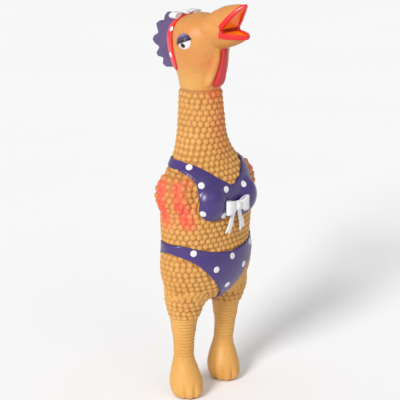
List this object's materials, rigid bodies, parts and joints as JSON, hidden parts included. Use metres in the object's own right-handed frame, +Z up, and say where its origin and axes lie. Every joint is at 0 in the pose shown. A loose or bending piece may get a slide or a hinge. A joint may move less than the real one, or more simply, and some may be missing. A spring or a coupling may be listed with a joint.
{
  "type": "rubber chicken",
  "caption": "Hollow latex squeaky chicken toy with nubbed skin, open beak, spiked comb, moulded dotted swimwear, flexible neck and dangling legs.",
  "frame": {"origin": "on the ground, below the middle of the bounding box, which is 7.9 mm behind the middle of the torso", "axes": "+Z up along the body, the chicken faces -Y, its right side is -X"},
  "size_m": [0.1272, 0.1342, 0.4321],
  "materials": {
    "latex_skin": "matte latex, lightly waxy",
    "wing_pink": "painted latex",
    "purple_rubber": "painted latex, satin, white dots in the visual",
    "comb_purple": "painted latex, matte",
    "red_rubber": "painted latex, satin",
    "wattle_red": "painted latex, satin",
    "mouth_orange": "painted latex, satin",
    "white_rubber": "painted latex, matte",
    "eye_white": "painted latex, glossy",
    "eye_black": "painted latex, glossy",
    "squeaker_plastic": "moulded polythene"
  },
  "bodies": {
    "torso": {"torso_shell": "latex_skin", "bikini_top": "purple_rubber", "bikini_bottom": "purple_rubber", "chest_bow_loop_right": "white_rubber", "chest_bow_loop_left": "white_rubber", "chest_bow_knot": "white_rubber", "chest_bow_tail_right": "white_rubber", "chest_bow_tail_left": "white_rubber", "squeaker_housing": "squeaker_plastic", "squeaker_reed_frame": "squeaker_plastic", "squeaker_reed": "squeaker_plastic"},
    "right_flank": {"right_flank": "latex_skin", "right_wing": "wing_pink"},
    "left_flank": {"left_flank": "latex_skin", "left_wing": "wing_pink"},
    "neck_lower": {"neck_lower": "latex_skin"},
    "neck_upper": {"neck_upper": "latex_skin"},
    "head": {"head_shell": "latex_skin", "upper_beak": "latex_skin", "upper_beak_rim": "red_rubber", "upper_mouth_lining": "mouth_orange", "comb": "comb_purple", "headband": "red_rubber", "head_bow_loop_right": "white_rubber", "head_bow_loop_left": "white_rubber", "head_bow_knot": "white_rubber", "wattle": "wattle_red", "right_eyeball": "eye_white", "left_eyeball": "eye_white", "right_eyelid": "comb_purple", "left_eyelid": "comb_purple", "right_pupil": "eye_black", "left_pupil": "eye_black"},
    "jaw": {"lower_beak": "latex_skin", "lower_beak_rim": "red_rubber", "lower_mouth_lining": "mouth_orange"},
    "right_shank": {"right_shank": "latex_skin"},
    "left_shank": {"left_shank": "latex_skin"},
    "right_foot": {"right_foot": "latex_skin"},
    "left_foot": {"left_foot": "latex_skin"}
  },
  "joints": [
    {"name": "neck_bend", "type": "hinge", "parent": "torso", "child": "neck_lower", "pos_m": [0, -0.0009, 0.296], "axis": [1, 0, 0], "range_deg": [-20, 20], "stiffness_Nm_per_rad": 2},
    {"name": "neck_sway", "type": "hinge", "parent": "neck_lower", "child": "neck_upper", "pos_m": [0, -0.0001, 0.324], "axis": [0, 1, 0], "range_deg": [-20, 20], "stiffness_Nm_per_rad": 2},
    {"name": "head_nod", "type": "hinge", "parent": "neck_upper", "child": "head", "pos_m": [0, 0.0005, 0.352], "axis": [1, 0, 0], "range_deg": [-18, 18], "stiffness_Nm_per_rad": 1.5},
    {"name": "beak_flex", "type": "hinge", "parent": "head", "child": "jaw", "pos_m": [0, -0.0209, 0.397], "axis": [1, 0, 0], "range_deg": [-3, 9], "stiffness_Nm_per_rad": 0.3},
    {"name": "right_squeeze", "type": "slide", "parent": "torso", "child": "right_flank", "axis": [1, 0, 0], "range_m": [0, 0.006], "stiffness_N_per_m": 600},
    {"name": "left_squeeze", "type": "slide", "parent": "torso", "child": "left_flank", "axis": [-1, 0, 0], "range_m": [0, 0.006], "stiffness_N_per_m": 600},
    {"name": "right_leg_swing", "type": "hinge", "parent": "torso", "child": "right_shank", "pos_m": [-0.034, -0.0059, 0.079], "axis": [1, 0, 0], "range_deg": [-35, 35], "stiffness_Nm_per_rad": 1.4},
    {"name": "left_leg_swing", "type": "hinge", "parent": "torso", "child": "left_shank", "pos_m": [0.034, -0.0059, 0.079], "axis": [1, 0, 0], "range_deg": [-35, 35], "stiffness_Nm_per_rad": 1.4},
    {"name": "right_foot_flex", "type": "hinge", "parent": "right_shank", "child": "right_foot", "pos_m": [-0.034, -0.0059, 0.04], "axis": [1, 0, 0], "range_deg": [-25, 25], "stiffness_Nm_per_rad": 1.4},
    {"name": "left_foot_flex", "type": "hinge", "parent": "left_shank", "child": "left_foot", "pos_m": [0.034, -0.0059, 0.04], "axis": [1, 0, 0], "range_deg": [-25, 25], "stiffness_Nm_per_rad": 1.4}
  ]
}
